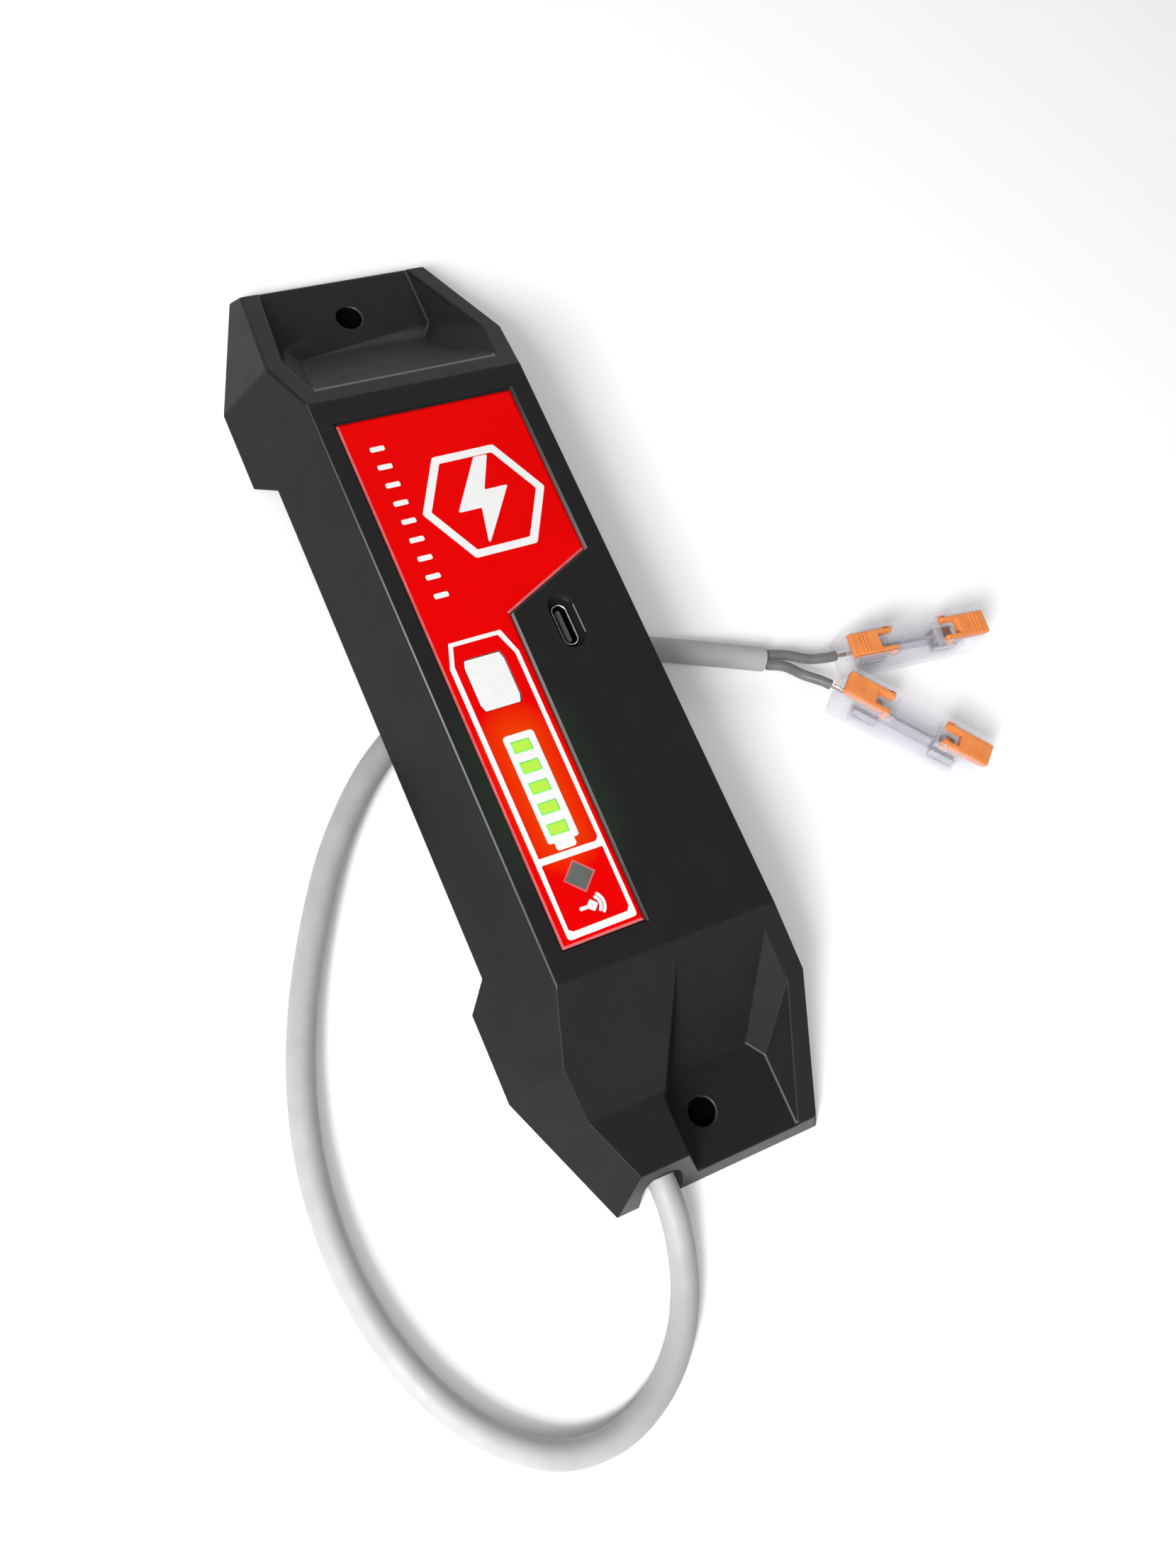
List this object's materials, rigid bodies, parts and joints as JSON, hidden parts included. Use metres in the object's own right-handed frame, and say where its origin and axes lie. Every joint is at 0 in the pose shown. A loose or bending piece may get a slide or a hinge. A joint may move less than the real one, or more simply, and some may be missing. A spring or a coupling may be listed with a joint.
{
  "type": "wall battery unit",
  "caption": "Slim wall-mount battery unit: drafted case with end screw recesses, membrane charge gauge with test key, charge port, and output cable ending in inline lever splices.",
  "frame": {"origin": "middle of the case's back plane, the plane that rests on the wall or table", "axes": "+Z out of the wall, the front face's normal; +Y along the case towards its upper end, away from the cable; +X across the case towards the charge port"},
  "size_m": [0.182, 0.2372, 0.0215],
  "materials": {
    "case_plastic": "fine moulded grain, satin",
    "soft_seal": "matt elastomer",
    "red_foil": "printed polycarbonate foil, satin",
    "white_plastic": "smooth white",
    "dark_resin": "moulded resin",
    "green_window": "lit green light pipe",
    "grey_window": "smoked grey window",
    "led_resin": "clear LED resin",
    "plated_steel": "zinc or nickel plated",
    "board_lacquer": "solder-mask lacquer",
    "cell_pouch": "aluminium laminate pouch",
    "red_insulation": "PVC insulation",
    "grey_sheath": "light grey PVC sheath, matt",
    "dark_insulation": "dark grey PVC insulation",
    "copper_strands": "bare copper strands",
    "clear_plastic": "clear polycarbonate",
    "orange_plastic": "orange lever plastic",
    "tinned_metal": "tinned copper and spring steel"
  },
  "bodies": {
    "root": {"front_housing": "case_plastic", "back_cover": "case_plastic", "cable_clamp": "case_plastic", "cover_seal": "soft_seal", "cable_grommet": "soft_seal", "cell_pad": "soft_seal", "label_foil": "red_foil", "light_shroud": "white_plastic", "battery_plug": "white_plastic", "switch_body": "dark_resin", "port_tongue": "dark_resin", "terminal_block": "dark_resin", "battery_lead_minus": "dark_resin", "gauge_light_pipe": "green_window", "status_lens": "grey_window", "status_led": "led_resin", "gauge_led_1": "led_resin", "gauge_led_2": "led_resin", "gauge_led_3": "led_resin", "gauge_led_4": "led_resin", "gauge_led_5": "led_resin", "port_shell": "plated_steel", "radio_module": "plated_steel", "board_screw_1": "plated_steel", "board_screw_2": "plated_steel", "board_screw_3": "plated_steel", "board_screw_4": "plated_steel", "cover_screw_1": "plated_steel", "cover_screw_2": "plated_steel", "cover_screw_3": "plated_steel", "cover_screw_4": "plated_steel", "cover_screw_5": "plated_steel", "cover_screw_6": "plated_steel", "clamp_screw_1": "plated_steel", "clamp_screw_2": "plated_steel", "circuit_board": "board_lacquer", "protection_board": "board_lacquer", "battery_cell_1": "cell_pouch", "battery_cell_2": "cell_pouch", "battery_lead_plus": "red_insulation", "power_cable": "grey_sheath", "cable_inside": "grey_sheath", "lead_1": "dark_insulation", "lead_2": "dark_insulation", "inner_core_1": "dark_insulation", "inner_core_2": "dark_insulation", "conductor_1": "copper_strands", "conductor_2": "copper_strands", "splice_1_housing": "clear_plastic", "splice_2_housing": "clear_plastic", "splice_1_contact": "tinned_metal", "splice_2_contact": "tinned_metal"},
    "test_key": {"test_key": "white_plastic"},
    "switch_plunger": {"switch_plunger": "dark_resin"},
    "splice_1_lead_lever": {"splice_1_lead_lever": "orange_plastic"},
    "splice_1_load_lever": {"splice_1_load_lever": "orange_plastic"},
    "splice_2_lead_lever": {"splice_2_lead_lever": "orange_plastic"},
    "splice_2_load_lever": {"splice_2_load_lever": "orange_plastic"}
  },
  "joints": [
    {"name": "test_key_press", "type": "slide", "parent": "root", "child": "test_key", "axis": [0, 0, -1], "range_m": [0, 0.0005], "stiffness_N_per_m": 400, "springref_m": -0.0005},
    {"name": "switch_plunger_press", "type": "slide", "parent": "root", "child": "switch_plunger", "axis": [0, 0, -1], "range_m": [0, 0.0005]},
    {"name": "splice_1_lead_lever_swing", "type": "hinge", "parent": "root", "child": "splice_1_lead_lever", "pos_m": [0.08334, -0.01541, 0.00825], "axis": [0.108, 0.9942, 0], "range_deg": [0, 90]},
    {"name": "splice_1_load_lever_swing", "type": "hinge", "parent": "root", "child": "splice_1_load_lever", "pos_m": [0.09786, -0.01699, 0.00825], "axis": [-0.108, -0.9942, 0], "range_deg": [0, 90]},
    {"name": "splice_2_lead_lever_swing", "type": "hinge", "parent": "root", "child": "splice_2_lead_lever", "pos_m": [0.07522, -0.02886, 0.00825], "axis": [0.7314, 0.682, 0], "range_deg": [0, 90]},
    {"name": "splice_2_load_lever_swing", "type": "hinge", "parent": "root", "child": "splice_2_load_lever", "pos_m": [0.08518, -0.03954, 0.00825], "axis": [-0.7314, -0.682, 0], "range_deg": [0, 90]}
  ],
  "couplings": [
    {"joint": "switch_plunger_press", "follows": "test_key_press", "ratio": 1}
  ]
}
